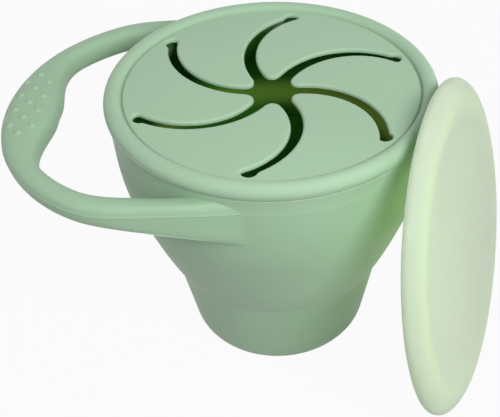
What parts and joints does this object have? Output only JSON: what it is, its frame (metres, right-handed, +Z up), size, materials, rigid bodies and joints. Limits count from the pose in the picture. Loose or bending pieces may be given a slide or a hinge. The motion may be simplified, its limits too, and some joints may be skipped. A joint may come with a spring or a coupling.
{
  "type": "toddler snack container",
  "caption": "Collapsible silicone snack cup with a loop handle, a push-on lid of six curved flaps and a flat cover leaning on its rim.",
  "frame": {"origin": "middle of the flat underside of the cup, on the surface it stands on", "axes": "+Z up along the cup's axis; the loop handle points along -X; the cover leans on the rim on the +X side"},
  "size_m": [0.1534, 0.1211, 0.0975],
  "materials": {
    "cup_silicone": "satin moulded silicone, sage green",
    "lid_silicone": "satin moulded silicone, sage green",
    "cover_silicone": "pale green translucent silicone"
  },
  "bodies": {
    "base": {"lower_cup": "cup_silicone"},
    "upper": {"fold_wall": "cup_silicone", "upper_cup": "cup_silicone", "handle": "cup_silicone"},
    "lid": {"flap_lid": "lid_silicone"},
    "petal_1": {"petal_1": "lid_silicone"},
    "petal_2": {"petal_2": "lid_silicone"},
    "petal_3": {"petal_3": "lid_silicone"},
    "petal_4": {"petal_4": "lid_silicone"},
    "petal_5": {"petal_5": "lid_silicone"},
    "petal_6": {"petal_6": "lid_silicone"},
    "cover": {"cover": "cover_silicone"}
  },
  "joints": [
    {"name": "cup_collapse", "type": "slide", "parent": "base", "child": "upper", "axis": [0, 0, -1], "range_m": [0, 0.038], "deforming": ["fold_wall"]},
    {"name": "lid_pull", "type": "slide", "parent": "upper", "child": "lid", "axis": [-0.2138, 0.0699, 0.9744], "range_m": [0, 0.03]},
    {"name": "flap_1", "type": "hinge", "parent": "lid", "child": "petal_1", "pos_m": [0.03565, 0.01557, 0.0888], "axis": [-0.8049, 0.5934, 0], "range_deg": [-60, 45], "stiffness_Nm_per_rad": 0.012},
    {"name": "flap_2", "type": "hinge", "parent": "lid", "child": "petal_2", "pos_m": [0.00434, 0.03866, 0.0888], "axis": [-0.9164, -0.4003, 0], "range_deg": [-60, 45], "stiffness_Nm_per_rad": 0.012},
    {"name": "flap_3", "type": "hinge", "parent": "lid", "child": "petal_3", "pos_m": [-0.03131, 0.02308, 0.0888], "axis": [-0.1115, -0.9938, 0], "range_deg": [-60, 45], "stiffness_Nm_per_rad": 0.012},
    {"name": "flap_4", "type": "hinge", "parent": "lid", "child": "petal_4", "pos_m": [-0.03565, -0.01557, 0.0888], "axis": [0.8049, -0.5934, 0], "range_deg": [-60, 45], "stiffness_Nm_per_rad": 0.012},
    {"name": "flap_5", "type": "hinge", "parent": "lid", "child": "petal_5", "pos_m": [-0.00434, -0.03866, 0.0888], "axis": [0.9164, 0.4003, 0], "range_deg": [-60, 45], "stiffness_Nm_per_rad": 0.012},
    {"name": "flap_6", "type": "hinge", "parent": "lid", "child": "petal_6", "pos_m": [0.03131, -0.02308, 0.0888], "axis": [0.1115, 0.9938, 0], "range_deg": [-60, 45], "stiffness_Nm_per_rad": 0.012},
    {"name": "cover_lift", "type": "slide", "parent": "base", "child": "cover", "axis": [0, 0, 1], "range_m": [0, 0.09]}
  ]
}
